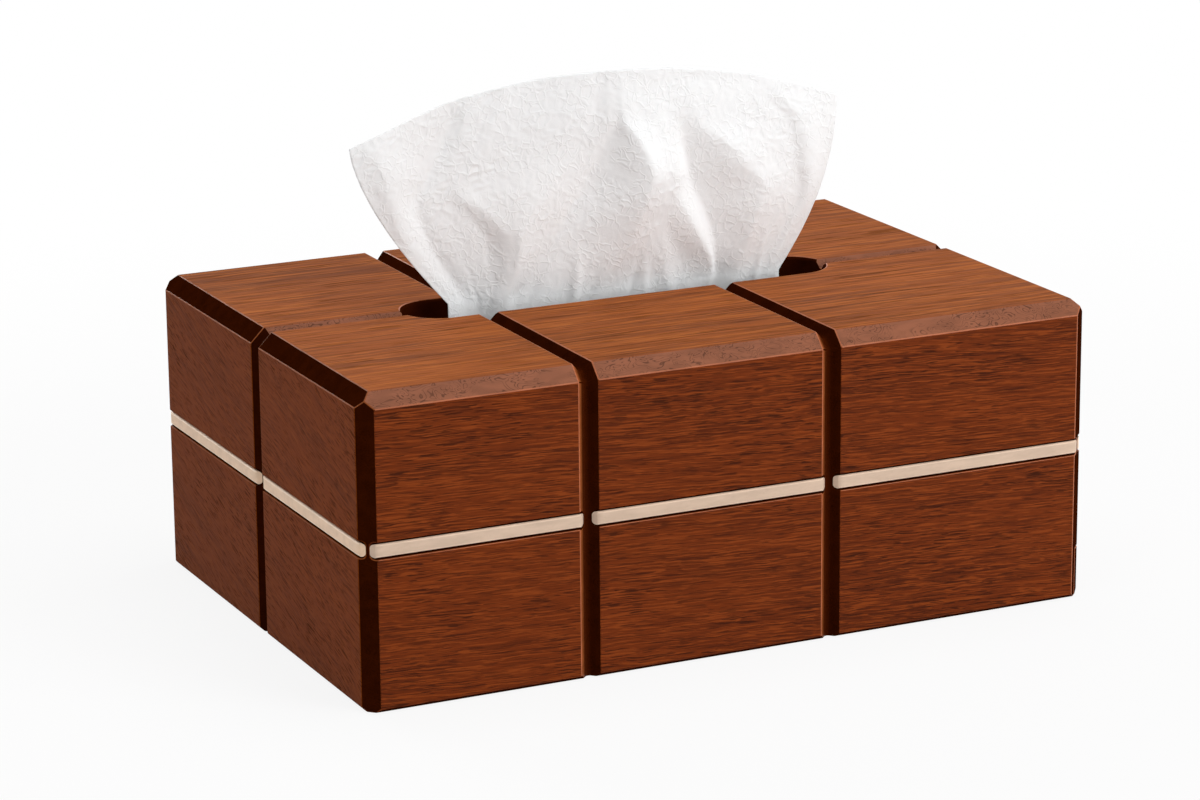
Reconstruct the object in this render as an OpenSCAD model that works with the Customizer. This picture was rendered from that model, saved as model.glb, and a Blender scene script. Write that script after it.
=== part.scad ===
// Wooden tissue box: five mitred boards with V-grooves and pale inlay strips,
// a bottom panel that slides out to the right, a stack of tissues and the
// sheet that stands out of the slot. Millimetres, +Z up, origin on the floor
// at the middle of the box. The front faces -Y.

/* [Box] */
// Length of the box, left to right
box_l = 190; // [175:1:230]
// Depth of the box, front to back
box_w = 130; // [110:1:160]
// Height of the box without the tissue
box_h = 75; // [68:1:110]
// Thickness of the five glued boards
board_t = 9; // [8:0.5:11]

/* [Edges] */
// Leg of the 45 degree chamfer on the top and corner edges
edge_chamfer = 3.5; // [2:0.25:5]
// Leg of the small chamfer round the foot
foot_chamfer = 1; // [0.5:0.25:2]

/* [Grooves] */
// Width of a V-groove at its mouth
groove_w = 5; // [4:0.5:7]
// Radius of the rounded groove floor
groove_floor_r = 1; // [0.5:0.1:1.3]
// Distance of the first cross groove from the left end
first_groove_x = 56.2; // [40:0.1:75]
// Distance of the second cross groove from the left end
second_groove_x = 119.3; // [100:0.1:140]

/* [Inlay] */
// Height of the strips' centre line above the floor
inlay_z = 38.5; // [28:0.5:48]
// Height of a strip
inlay_h = 3.2; // [2.4:0.1:5]
// Depth of the strips' channel in the boards
inlay_depth = 1.4; // [1:0.1:2]
// Shadow gap between a strip and the channel, above and below it
inlay_gap = 0.45; // [0.2:0.05:0.8]
// Distance of a strip's face behind the wood's face
inlay_set_back = 0.1; // [0:0.05:0.4]
// Radius of the two back edges of a strip
inlay_back_r = 0.9; // [0.4:0.1:1]

/* [Slot] */
// Length of the round-ended slot in the top
slot_l = 113; // [100:1:130]
// Width of the slot
slot_w = 18; // [15:0.5:24]
// Leg of the small chamfer round the slot's mouth
slot_chamfer = 0.6; // [0.3:0.1:1.2]

/* [Sliding bottom] */
// Height of the walls' foot below the bottom panel
foot_h = 4; // [3:0.5:7]
// Thickness of the bottom panel
panel_t = 4; // [3:0.5:6]
// Depth of the panel's groove in the walls
tongue = 4; // [3:0.25:5]
// Running clearance of the bottom panel and its rail
play = 0.2; // [0.1:0.05:0.4]
// Height of the end rail that closes the right end
rail_h = 12; // [10:0.5:16]

/* [Tissue stack] */
// Space between the stack and the boards round it
stack_gap = 3; // [1:0.5:8]
// Height of the stack
stack_h = 46; // [30:1:48]
// Number of folded tissues that show as folds at its front and back
stack_folds = 23; // [12:1:30]
// Space between the bottom panel and the stack
stack_lift = 0.3; // [0.2:0.1:0.6]

/* [Standing sheet] */
// Thickness of the standing sheet
sheet_t = 0.6; // [0.4:0.1:1]
// Reach of the sheet to the left of the middle, at the slot
waist_left = 44; // [36:1:46]
// Reach of the sheet to the right of the middle, at the slot
waist_right = 43; // [36:1:46]
// Further reach of the left tip beyond the waist
spread_left = 24.7; // [15:0.1:28]
// Further reach of the right tip beyond the waist
spread_right = 15.8; // [10:0.1:28]
// Height of the left tip above the top of the box
left_tip_h = 40.5; // [30:0.5:50]
// Height of the right tip above the top of the box
right_tip_h = 42.9; // [30:0.5:50]
// Rise of the curved top edge above the line between its tips
crown = 12.6; // [6:0.1:18]
// Depth of the folds in the free part of the sheet
fold_depth = 4.6; // [2:0.1:6]
// Depth of the pleats where the sheet stands in the slot
pleat_depth = 2.4; // [1:0.1:2.8]

/* [Hidden] */

$fn = 48;
over = 1; // how far a cutter reaches past the face it cuts
dark_wood = [0.36, 0.17, 0.09];
plain_wood = [0.45, 0.24, 0.13];
cream = [0.83, 0.74, 0.63];
paper_white = [0.95, 0.95, 0.94];

// Angles that turn the front face, at -Y, to the other faces
FRONT = 0;
RIGHT = 90;
BACK = 180;
LEFT = 270;

groove_1 = first_groove_x - box_l / 2;
groove_2 = second_groove_x - box_l / 2;
inner_l = box_l - 2 * board_t;
inner_w = box_w - 2 * board_t;
panel_top = foot_h + panel_t;
stack_floor = panel_top + stack_lift;
stack_top = stack_floor + stack_h;
stack_l = inner_l - 2 * stack_gap;
stack_w = inner_w - 2 * stack_gap;

// Length of a face along its run, and its distance from the middle
function face_run(turn) = turn % 180 == 0 ? box_l : box_w;
function face_distance(turn) = turn % 180 == 0 ? box_w / 2 : box_l / 2;

// V-groove cutter: mouth on the line y = 0, floor towards -y, run along +z
module groove_cutter(run) {
    half = groove_w / 2;
    floor_centre = half - groove_floor_r * sqrt(2);
    touch = groove_floor_r / sqrt(2);
    linear_extrude(run) {
        polygon([[-half, over], [half, over], [half, 0],
                 [touch, -floor_centre - touch], [-touch, -floor_centre - touch],
                 [-half, 0]]);
        translate([0, -floor_centre]) circle(groove_floor_r);
    }
}

// One groove down a side: over the chamfer, then down the face to the floor
module groove_down_side(span) {
    translate([0, -span / 2 + edge_chamfer, box_h])
        rotate([135, 0, 0]) groove_cutter(edge_chamfer * sqrt(2));
    translate([0, -span / 2, box_h - edge_chamfer])
        rotate([180, 0, 0]) groove_cutter(box_h - edge_chamfer + over);
}

// A groove over the top and down both faces that lie span apart along Y
module groove_loop(span) {
    translate([0, span / 2 - edge_chamfer, box_h])
        rotate([90, 0, 0]) groove_cutter(span - 2 * edge_chamfer);
    groove_down_side(span);
    mirror([0, 1, 0]) groove_down_side(span);
}

module cross_grooves() {
    for (x = [groove_1, groove_2]) translate([x, 0, 0]) groove_loop(box_w);
}

module long_groove() {
    rotate([0, 0, 90]) groove_loop(box_l);
}

// Bar that takes a chamfer of the given leg off an edge along +z; the edge's
// two faces look to -x and -y
module chamfer_cutter(leg, run) {
    linear_extrude(run)
        polygon([[-over, -over], [leg + over, -over], [-over, leg + over]]);
}

module corner_chamfers() {
    for (sx = [0, 1], sy = [0, 1])
        mirror([sx, 0, 0]) mirror([0, sy, 0])
            translate([-box_l / 2, -box_w / 2, -over])
                chamfer_cutter(edge_chamfer, box_h + 2 * over);
}

// Chamfers along the top edge and the foot edge of one face
module level_chamfers(turn) {
    run = face_run(turn) + 2 * over;
    rotate([0, 0, turn]) {
        translate([-run / 2, -face_distance(turn), box_h])
            rotate([0, 90, 0]) chamfer_cutter(edge_chamfer, run);
        translate([run / 2, -face_distance(turn), 0])
            rotate([0, -90, 0]) chamfer_cutter(foot_chamfer, run);
    }
}

// Outline of a channel or strip, from y = proud down to -inlay_depth
module inlay_outline(height, proud) {
    side = height / 2 - inlay_back_r;
    intersection() {
        union() {
            for (s = [-1, 1])
                translate([s * side, inlay_back_r - inlay_depth]) circle(inlay_back_r);
            translate([-side, -inlay_depth]) square([2 * side, inlay_depth + proud]);
            translate([-height / 2, inlay_back_r - inlay_depth])
                square([height, inlay_depth - inlay_back_r + proud]);
        }
        translate([-height / 2, -inlay_depth]) square([height, inlay_depth + proud]);
    }
}

// The outline above, run along one face from one place on it to another
module inlay_bar(turn, from, to, height, proud) {
    rotate([0, 0, turn])
        translate([from, -face_distance(turn), inlay_z])
            rotate([180, 0, 0]) rotate([0, 90, 0])
                linear_extrude(to - from) inlay_outline(height, proud);
}

module inlay_channel(turn) {
    reach = face_run(turn) / 2 + over;
    inlay_bar(turn, -reach, reach, inlay_h + 2 * inlay_gap, over);
}

// Plan of what stands at one face and is mitred at both ends
module mitred_plan(half, away) {
    polygon([[-half, -away], [half, -away],
             [half - board_t, board_t - away], [board_t - half, board_t - away]]);
}

// A board standing at one face, mitred at its ends and along its top edge;
// short takes that much, square to the mitre, off both ends
module standing_board(turn, short = 0) {
    half = face_run(turn) / 2 - short * sqrt(2);
    away = face_distance(turn);
    rotate([0, 0, turn]) intersection() {
        linear_extrude(box_h) mitred_plan(half, away);
        translate([-half, 0, 0]) rotate([90, 0, 90]) linear_extrude(2 * half)
            polygon([[-away, 0], [-away, box_h],
                     [board_t - away, box_h - board_t], [board_t - away, 0]]);
    }
}

// Space that the bottom panel needs in the walls, open to the right
module panel_groove() {
    left = inner_l / 2 + tongue;
    front = inner_w / 2 + tongue;
    translate([-left, -front, foot_h - play])
        cube([left + box_l / 2, 2 * front, panel_t + 2 * play]);
}

// Finishes a standing board: chamfers, the channels of its own face and of the
// faces beside it, and its grooves
module finished_board(turn, short = 0) {
    difference() {
        standing_board(turn, short);
        corner_chamfers();
        level_chamfers(turn);
        for (side = [-90, 0, 90]) inlay_channel(turn + side);
        if (turn % 180 == 0) cross_grooves();
        else long_groove();
    }
}

module long_wall(turn) {
    color(dark_wood) difference() {
        finished_board(turn);
        panel_groove();
    }
}

module front_wall() {
    long_wall(FRONT);
}

module back_wall() {
    long_wall(BACK);
}

module left_end() {
    long_wall(LEFT);
}

// The right end stops above the rail, so that the bottom can slide out
module right_end() {
    color(dark_wood) difference() {
        finished_board(RIGHT);
        translate([0, -box_w / 2, -over])
            cube([box_l / 2 + over, box_w, rail_h + play + over]);
    }
}

module top_slot() {
    straight = slot_l - slot_w;
    bottom = box_h - board_t - over;
    for (s = [-1, 1]) translate([s * straight / 2, 0, 0]) {
        translate([0, 0, bottom]) cylinder(h = board_t + 2 * over, d = slot_w);
        translate([0, 0, box_h - slot_chamfer])
            cylinder(h = slot_chamfer + over, d1 = slot_w,
                     d2 = slot_w + 2 * (slot_chamfer + over));
    }
    translate([-straight / 2, -slot_w / 2, bottom])
        cube([straight, slot_w, board_t + 2 * over]);
    translate([-straight / 2, 0, 0]) rotate([90, 0, 90]) linear_extrude(straight)
        polygon([[-slot_w / 2, box_h - slot_chamfer], [slot_w / 2, box_h - slot_chamfer],
                 [slot_w / 2 + slot_chamfer + over, box_h + over],
                 [-slot_w / 2 - slot_chamfer - over, box_h + over]]);
}

// Prism that keeps the top board's mitre along the faces that lie span apart
module top_wedge(span, run) {
    translate([-run / 2, 0, 0]) rotate([90, 0, 90]) linear_extrude(run)
        polygon([[-span / 2, box_h], [span / 2, box_h],
                 [span / 2 - board_t, box_h - board_t],
                 [board_t - span / 2, box_h - board_t]]);
}

module top_panel() {
    color(dark_wood) difference() {
        intersection() {
            top_wedge(box_w, box_l);
            rotate([0, 0, 90]) top_wedge(box_l, box_w);
        }
        corner_chamfers();
        for (turn = [FRONT, RIGHT, BACK, LEFT]) level_chamfers(turn);
        cross_grooves();
        long_groove();
        top_slot();
    }
}

module panel_board() {
    left = inner_l / 2 + tongue - play;
    right = inner_l / 2 + tongue;
    front = inner_w / 2 + tongue - play;
    translate([-left, -front, foot_h]) cube([left + right, 2 * front, panel_t]);
}

module sliding_bottom() {
    color(plain_wood) panel_board();
}

// The rail is the foot of the right end and is housed on the panel's edge
module end_rail() {
    color(dark_wood) difference() {
        intersection() {
            finished_board(RIGHT, play);
            translate([0, -box_w / 2, 0]) cube([box_l / 2, box_w, rail_h]);
        }
        panel_board();
    }
}

// A strip between two places on a face, cut off by the grooves and chamfers and
// mitred where it would meet the strip round the corner
module strip(turn, from, to) {
    color(cream) difference() {
        intersection() {
            inlay_bar(turn, from, to, inlay_h, -inlay_set_back);
            rotate([0, 0, turn]) linear_extrude(box_h)
                mitred_plan(face_run(turn) / 2, face_distance(turn));
        }
        corner_chamfers();
        if (turn % 180 == 0) cross_grooves();
        else long_groove();
    }
}

module front_strip_1() { strip(FRONT, -box_l / 2, groove_1); }
module front_strip_2() { strip(FRONT, groove_1, groove_2); }
module front_strip_3() { strip(FRONT, groove_2, box_l / 2); }
module back_strip_1() { strip(BACK, -groove_1, box_l / 2); }
module back_strip_2() { strip(BACK, -groove_2, -groove_1); }
module back_strip_3() { strip(BACK, -box_l / 2, -groove_2); }
module left_strip_1() { strip(LEFT, 0, box_w / 2); }
module left_strip_2() { strip(LEFT, -box_w / 2, 0); }
module right_strip_1() { strip(RIGHT, -box_w / 2, 0); }
module right_strip_2() { strip(RIGHT, 0, box_w / 2); }

// Folded tissues: every fold shows as a rounded ridge at the front and back
module tissue_stack() {
    fold_t = stack_h / stack_folds;
    fold_r = 0.6 * fold_t;
    color(paper_white)
        translate([-stack_l / 2, 0, stack_floor]) rotate([90, 0, 90])
            linear_extrude(stack_l) intersection() {
                union() {
                    translate([fold_r - stack_w / 2, 0])
                        square([stack_w - 2 * fold_r, stack_h]);
                    for (i = [0:stack_folds - 1], s = [-1, 1])
                        translate([s * (stack_w / 2 - fold_r), (i + 0.5) * fold_t])
                            circle(fold_r, $fn = 24);
                }
                translate([-stack_w / 2, 0]) square([stack_w, stack_h]);
            }
}

// The standing sheet is a grid of columns, left to right, and rows, upwards.
// Its lower rows stand in the box and the slot, its upper rows fan out.
columns = 56;
low_rows = 3;
high_rows = 16;
rows = low_rows + high_rows;
left_flare = 1.6;
right_flare = 2;
// Place across the sheet, depth and width of each large fold; a positive
// depth is a hollow, a negative one a ridge
FOLDS = [[0.10, 0.9, 0.07], [0.30, -0.7, 0.12], [0.50, 1.0, 0.05],
         [0.60, -0.9, 0.05], [0.71, 0.9, 0.045], [0.83, -0.8, 0.06]];
pleats = 7;

function total(list, i = 0) = i < len(list) ? list[i] + total(list, i + 1) : 0;
function bell(x) = exp(-x * x);
function flare(v, power) = 1 - pow(1 - v, power);
function left_x(v) = -waist_left - spread_left * flare(v, left_flare);
function right_x(v) = waist_right + spread_right * flare(v, right_flare);
function edge_h(u) = left_tip_h + (right_tip_h - left_tip_h) * u + 4 * crown * u * (1 - u);
function large_folds(u) = total([for (f = FOLDS) f[1] * bell((u - f[0]) / f[2])]);
function fold_y(u, v) =
    fold_depth * large_folds(u) * sin(90 * min(1, v * 2))
    + pleat_depth * cos(360 * pleats * u) * (1 - v) * (1 - v);
function sheet_point(i, j, side) =
    let (u = i / columns, v = max(0, (j - low_rows) / high_rows),
         low = max(0, low_rows - j) / low_rows)
    [left_x(v) + (right_x(v) - left_x(v)) * u,
     fold_y(u, v) + side * sheet_t / 2,
     box_h + v * edge_h(u) - low * (box_h - stack_top)];

// Two triangles between four points of a grid
function split(a, b, c, d) = [[a, b, c], [a, c, d]];
function flat(lists) = [for (l = lists) for (e = l) e];

module tissue_sheet() {
    width = columns + 1;
    layer = width * (rows + 1);
    function at(i, j, side) = side * layer + j * width + i;
    points = [for (side = [-1, 1], j = [0:rows], i = [0:columns]) sheet_point(i, j, side)];
    front = [for (j = [0:rows - 1], i = [0:columns - 1])
        split(at(i, j, 0), at(i, j + 1, 0), at(i + 1, j + 1, 0), at(i + 1, j, 0))];
    back = [for (j = [0:rows - 1], i = [0:columns - 1])
        split(at(i, j, 1), at(i + 1, j, 1), at(i + 1, j + 1, 1), at(i, j + 1, 1))];
    ends = [for (j = [0:rows - 1]) concat(
        split(at(0, j, 0), at(0, j, 1), at(0, j + 1, 1), at(0, j + 1, 0)),
        split(at(columns, j, 0), at(columns, j + 1, 0),
              at(columns, j + 1, 1), at(columns, j, 1)))];
    rims = [for (i = [0:columns - 1]) concat(
        split(at(i, 0, 0), at(i + 1, 0, 0), at(i + 1, 0, 1), at(i, 0, 1)),
        split(at(i, rows, 0), at(i, rows, 1), at(i + 1, rows, 1), at(i + 1, rows, 0)))];
    color(paper_white)
        polyhedron(points, concat(flat(front), flat(back), flat(ends), flat(rims)));
}

top_panel();
front_wall();
back_wall();
left_end();
right_end();
sliding_bottom();
end_rail();
front_strip_1();
front_strip_2();
front_strip_3();
back_strip_1();
back_strip_2();
back_strip_3();
left_strip_1();
left_strip_2();
right_strip_1();
right_strip_2();
tissue_stack();
tissue_sheet();
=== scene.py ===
import math

import bmesh
import bpy
from bpy.props import FloatProperty, FloatVectorProperty, IntProperty, PointerProperty
from bpy.types import Operator, Panel, PropertyGroup
from mathutils import Matrix, Vector, noise


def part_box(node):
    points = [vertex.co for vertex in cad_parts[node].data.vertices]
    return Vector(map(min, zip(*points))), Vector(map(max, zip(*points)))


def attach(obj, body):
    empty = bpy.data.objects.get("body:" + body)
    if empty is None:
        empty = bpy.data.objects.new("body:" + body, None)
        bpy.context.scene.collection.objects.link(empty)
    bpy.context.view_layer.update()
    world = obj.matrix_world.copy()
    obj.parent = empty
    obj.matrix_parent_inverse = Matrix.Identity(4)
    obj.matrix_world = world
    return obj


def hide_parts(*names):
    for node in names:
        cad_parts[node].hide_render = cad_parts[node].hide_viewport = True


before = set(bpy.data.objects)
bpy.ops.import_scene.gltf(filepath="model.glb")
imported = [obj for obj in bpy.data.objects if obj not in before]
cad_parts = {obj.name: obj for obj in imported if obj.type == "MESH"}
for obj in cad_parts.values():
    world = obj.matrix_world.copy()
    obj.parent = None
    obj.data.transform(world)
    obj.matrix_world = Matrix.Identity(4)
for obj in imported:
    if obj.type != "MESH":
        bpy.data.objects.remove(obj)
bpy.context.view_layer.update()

bl_info = {
    "name": "Inlaid tissue box",
    "version": (1, 0, 0),
    "blender": (4, 5, 0),
    "location": "View3D > Sidebar > Tissue box",
    "description": "Dresses a grooved wooden tissue box: stained wood, pale inlay and an embossed tissue",
    "category": "Object",
}

MM = 0.001

# Sizes in metres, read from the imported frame
HALF_LENGTH = -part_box("left_end")[0].x
HALF_WIDTH = -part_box("front_wall")[0].y
BOX_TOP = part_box("top_panel")[1].z
SHEET_LOW, SHEET_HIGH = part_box("tissue_sheet")
STACK_LOW, STACK_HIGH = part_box("tissue_stack")

# Seed of the noise that bends the emboss and shifts the folded tissues
NOISE_SEED = 7

# Leg of the outer chamfers, and how far the slot reaches from the middle with a small margin
CHAMFER = 3.5 * MM
SLOT_REACH = Vector((57.2, 9.7)) * MM

BOARDS = ("top_panel", "front_wall", "back_wall", "left_end", "right_end", "end_rail")
STRIPS = (
    "front_strip_1", "front_strip_2", "front_strip_3",
    "back_strip_1", "back_strip_2", "back_strip_3",
    "left_strip_1", "left_strip_2", "right_strip_1", "right_strip_2",
)


class WoodSettings(PropertyGroup):
    arris: FloatProperty(
        name="Arris radius", description="Rounding of the boards' sharp edges",
        default=0.18 * MM, min=0.05 * MM, max=0.8 * MM, unit="LENGTH", precision=5)
    arris_steps: IntProperty(
        name="Arris steps", description="Faces across each rounded edge", default=2, min=1, max=4)
    light: FloatVectorProperty(
        name="Light streaks", description="Colour of the lightest fibres",
        default=(0.225, 0.0451, 0.0082), subtype="COLOR", min=0.0, max=1.0)
    middle: FloatVectorProperty(
        name="Ground", description="Colour of most of the wood",
        default=(0.145, 0.0264, 0.0053), subtype="COLOR", min=0.0, max=1.0)
    dark: FloatVectorProperty(
        name="Dark streaks", description="Colour of the dark growth bands",
        default=(0.081, 0.0154, 0.0043), subtype="COLOR", min=0.0, max=1.0)
    pore: FloatVectorProperty(
        name="Pores", description="Colour of the open pores",
        default=(0.033, 0.0082, 0.0034), subtype="COLOR", min=0.0, max=1.0)
    # Partly the dark stain of cut end grain, partly painted shade
    routed_and_shaded: FloatVectorProperty(
        name="Routed end grain and shade",
        description="Chamfers and grooves cut across the grain, dark with stain and painted shade",
        default=(0.030, 0.0046, 0.0005), subtype="COLOR", min=0.0, max=1.0)
    # A painted highlight on the arrises that catch the light
    painted_highlight: FloatVectorProperty(
        name="Painted arris highlights", description="Painted highlight along the sharp edges that catch the light",
        default=(0.38, 0.112, 0.045), subtype="COLOR", min=0.0, max=1.0)
    # Painted light on the groove walls and arrises that face the light
    painted_light: FloatVectorProperty(
        name="Painted light on groove edges", description="Painted light on the groove walls and arrises that face the light",
        default=(0.25, 0.066, 0.018), subtype="COLOR", min=0.0, max=1.0)
    # Pale with painted sheen, besides the cut grain's figure
    figured_and_sheen: FloatVectorProperty(
        name="Routed side grain with painted sheen", description="Chamfers and grooves cut along the grain, pale with painted sheen",
        default=(0.236, 0.085, 0.044), subtype="COLOR", min=0.0, max=1.0)
    roughness: FloatProperty(
        name="Roughness", description="Roughness of the lacquer", default=0.44, min=0.0, max=1.0)
    shine: FloatProperty(
        name="Shine", description="Specular level of the lacquer", default=0.03, min=0.0, max=1.0)


class InlaySettings(PropertyGroup):
    arris: FloatProperty(
        name="Arris radius", description="Rounding of the strips' edges",
        default=0.45 * MM, min=0.05 * MM, max=0.8 * MM, unit="LENGTH", precision=5)
    corner: FloatProperty(
        name="Corner radius", description="Softness of the bend where a strip turns onto a chamfer",
        default=1.2 * MM, min=0.1 * MM, max=2.0 * MM, unit="LENGTH", precision=5)
    cream: FloatVectorProperty(
        name="Cream", description="Colour of the pale strips",
        default=(0.595, 0.441, 0.333), subtype="COLOR", min=0.0, max=1.0)


class TissueSettings(PropertyGroup):
    columns: IntProperty(
        name="Columns", description="Faces across the standing sheet", default=272, min=40, max=400)
    rows: IntProperty(
        name="Rows", description="Faces up the standing sheet", default=164, min=30, max=300)
    ply: FloatProperty(
        name="Thickness", description="Thickness of the two-ply tissue",
        default=0.16 * MM, min=0.05 * MM, max=0.6 * MM, unit="LENGTH", precision=5)
    fold_depth: FloatProperty(
        name="Fold depth", description="How far the folds stand out, against the drawn depth",
        default=1.2, min=0.0, max=3.0)
    crinkle: FloatProperty(
        name="Emboss height", description="Height of the embossed crinkles",
        default=0.16 * MM, min=0.0, max=0.6 * MM, unit="LENGTH", precision=5)
    white: FloatVectorProperty(
        name="Paper", description="Colour of the tissue",
        default=(0.88, 0.892, 0.898), subtype="COLOR", min=0.0, max=1.0)


class StageSettings(PropertyGroup):
    camera_place: FloatVectorProperty(
        name="Camera place", description="Where the camera stands",
        default=(-0.4225, -0.8738, 0.3151), subtype="TRANSLATION", unit="LENGTH")
    camera_turn: FloatVectorProperty(
        name="Camera turn", description="Downward tilt, roll and turn of the camera to the right",
        default=(math.radians(15.49), math.radians(-0.52), math.radians(25.54)), subtype="EULER")
    lens: FloatProperty(
        name="Lens", description="Focal length in millimetres", default=122.5, min=20, max=300)
    floor_radius: FloatProperty(
        name="Floor radius", description="Radius of the white floor",
        default=4.0, min=0.5, max=20, unit="LENGTH")
    floor_white: FloatProperty(
        name="Floor white", description="Share of plain white in the floor that is seen near the box",
        default=0.87, min=0.0, max=1.0)
    key_power: FloatProperty(
        name="Key light", description="Power of the overhead light", default=5.0, min=0, unit="POWER")
    side_power: FloatProperty(
        name="Side light", description="Power of the light at the front right",
        default=10.6, min=0, unit="POWER")
    fill_power: FloatProperty(
        name="Fill light", description="Power of the light from the left",
        default=2.6, min=0, unit="POWER")
    back_power: FloatProperty(
        name="Back light", description="Power of the light behind the box",
        default=8.0, min=0, unit="POWER")
    surround: FloatProperty(
        name="Surround", description="Strength of the surrounding light overhead",
        default=0.56, min=0, max=2)


# Helpers for shader nodes

def put(tree, kind, sockets=(), **settings):
    """Adds a node; sockets maps input names or numbers to a value or to another node's output."""
    new = tree.nodes.new(kind)
    for name, value in settings.items():
        setattr(new, name, value)
    for name, value in dict(sockets).items():
        if isinstance(value, bpy.types.NodeSocket):
            tree.links.new(value, new.inputs[name])
        else:
            new.inputs[name].default_value = value
    return new


def calc(tree, operation, a, b=0.0):
    """One step of arithmetic on two numbers."""
    return put(tree, "ShaderNodeMath", {0: a, 1: b}, operation=operation).outputs[0]


def in_millimetres(tree, place):
    """The object's coordinates in millimetres."""
    return put(tree, "ShaderNodeMapping", {"Vector": place, "Scale": (1000.0, 1000.0, 1000.0)}).outputs[0]


def stretch(tree, vector, scale):
    """Scales a pattern's coordinates."""
    return put(tree, "ShaderNodeVectorMath", {0: vector, 1: scale}, operation="MULTIPLY").outputs[0]


def grain_noise(tree, vector, scale, detail=2.0, roughness=0.5, distortion=0.0):
    """Noise from 0 to 1 on coordinates that are stretched by scale."""
    return put(tree, "ShaderNodeTexNoise", {
        "Vector": stretch(tree, vector, scale), "Scale": 1.0, "Detail": detail,
        "Roughness": roughness, "Distortion": distortion}).outputs["Fac"]


def between(tree, value, low, high):
    """0 below low, 1 above high, smooth between them."""
    return put(tree, "ShaderNodeMapRange", {"Value": value, "From Min": low, "From Max": high},
               interpolation_type="SMOOTHSTEP").outputs[0]


def tint(tree, factor, a, b):
    """Colour a where factor is 0, colour b where it is 1."""
    node = put(tree, "ShaderNodeMix", data_type="RGBA")
    for socket, value in ((node.inputs[0], factor), (node.inputs[6], a), (node.inputs[7], b)):
        if isinstance(value, bpy.types.NodeSocket):
            tree.links.new(value, socket)
        else:
            socket.default_value = value
    return node.outputs[2]


def rgba(colour, gain=1.0):
    """A colour as the four numbers that a socket takes; gain is one number or one per channel."""
    gains = gain if isinstance(gain, tuple) else (gain, gain, gain)
    return (colour[0] * gains[0], colour[1] * gains[1], colour[2] * gains[2], 1.0)


def start_material(name, roughness, shine):
    """A material with one Principled shader, and the object's coordinates in metres."""
    material = bpy.data.materials.new(name)
    material.use_nodes = True
    tree = material.node_tree
    shader = tree.nodes["Principled BSDF"]
    shader.inputs["Roughness"].default_value = roughness
    shader.inputs["Specular IOR Level"].default_value = shine
    place = put(tree, "ShaderNodeTexCoord").outputs["Object"]
    return material, tree, shader, place


def relief(tree, shader, height, strength, distance):
    """Feeds a height pattern to the shader as bump."""
    bump = put(tree, "ShaderNodeBump", {"Height": height, "Strength": strength, "Distance": distance})
    tree.links.new(bump.outputs["Normal"], shader.inputs["Normal"])


# Materials

def long_grain(name, wood, turn, gain=1.0, shift=0.0, width=1.0, depth=1.0, glint=0.9, pore=0.8,
               shine=1.0, bend=2.0, run=1.0):
    """Stained wood with its grain along X after turn: bands, streaks, fibres, pores and curls.
    width widens the figure across the grain; depth, glint and pore are the strengths of the dark
    bands, the light fibres and the pores, shine scales the lacquer's, bend is how many millimetres
    the grain wanders, and run is how long its streaks are."""
    fine, slow = 1 / width, 1 / run
    material, tree, shader, place = start_material(name, wood.roughness, wood.shine * shine)
    mapped = put(tree, "ShaderNodeMapping", {
        "Vector": place, "Location": (shift, shift * 0.7, shift * 0.4), "Rotation": turn,
        "Scale": (1000.0, 1000.0, 1000.0)}).outputs[0]
    sway = put(tree, "ShaderNodeTexNoise", {
        "Vector": stretch(tree, mapped, (0.016, 0.040, 0.040)), "Scale": 1.0, "Detail": 1.0})
    swayed = put(tree, "ShaderNodeVectorMath", {
        0: sway.outputs["Color"], 1: (0.0, bend, bend), 2: mapped}, operation="MULTIPLY_ADD").outputs[0]
    curl = put(tree, "ShaderNodeTexNoise", {
        "Vector": stretch(tree, mapped, (0.11, 0.28, 0.28)), "Scale": 1.0, "Detail": 2.0})
    grain = put(tree, "ShaderNodeVectorMath", {
        0: curl.outputs["Color"], 1: (0.0, 0.8, 0.8), 2: swayed}, operation="MULTIPLY_ADD").outputs[0]
    bands = grain_noise(tree, swayed, (0.008 * slow, 0.11 * fine, 0.11 * fine), 2.0, 0.5)
    streaks = grain_noise(tree, grain, (0.030 * slow, 0.60 * fine, 0.60 * fine), 3.0, 0.6)
    fibres = grain_noise(tree, grain, (0.080 * slow, 2.2 * fine, 2.2 * fine), 3.0, 0.6)
    glints = grain_noise(tree, grain, (0.075 * slow, 3.0 * fine, 3.0 * fine), 2.0, 0.6)
    pits = grain_noise(tree, grain, (0.16 * slow, 3.4 * fine, 3.4 * fine), 1.0, 0.5)
    finer = calc(tree, "ADD", calc(tree, "MULTIPLY", streaks, 0.24), calc(tree, "MULTIPLY", fibres, 0.48))
    tone = calc(tree, "ADD", calc(tree, "MULTIPLY", bands, 0.28), finer)
    deep = calc(tree, "MULTIPLY", between(tree, tone, 0.56, 0.38), depth)
    ground = tint(tree, deep, rgba(wood.middle, gain), rgba(wood.dark, gain))
    bright = calc(tree, "MULTIPLY", between(tree, glints, 0.49, 0.63), glint)
    lit = tint(tree, bright, ground, rgba(wood.light, gain))
    pores = between(tree, pits, 0.55, 0.64)
    patch = between(tree, grain_noise(tree, mapped, (0.03, 0.08, 0.08), 1.0), 0.40, 0.60)
    dense = put(tree, "ShaderNodeMath", {0: patch, 1: 0.45, 2: 0.55}, operation="MULTIPLY_ADD").outputs[0]
    pored = calc(tree, "MULTIPLY", pores, dense)
    colour = tint(tree, calc(tree, "MULTIPLY", pored, pore), lit, rgba(wood.pore, gain))
    tree.links.new(colour, shader.inputs["Base Color"])
    rough = put(tree, "ShaderNodeMath", {0: pored, 1: 0.25, 2: wood.roughness},
                operation="MULTIPLY_ADD").outputs[0]
    tree.links.new(rough, shader.inputs["Roughness"])
    height = calc(tree, "SUBTRACT", calc(tree, "MULTIPLY", fibres, 0.6), pored)
    relief(tree, shader, height, 0.4, 0.05 * MM)
    return material


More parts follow.
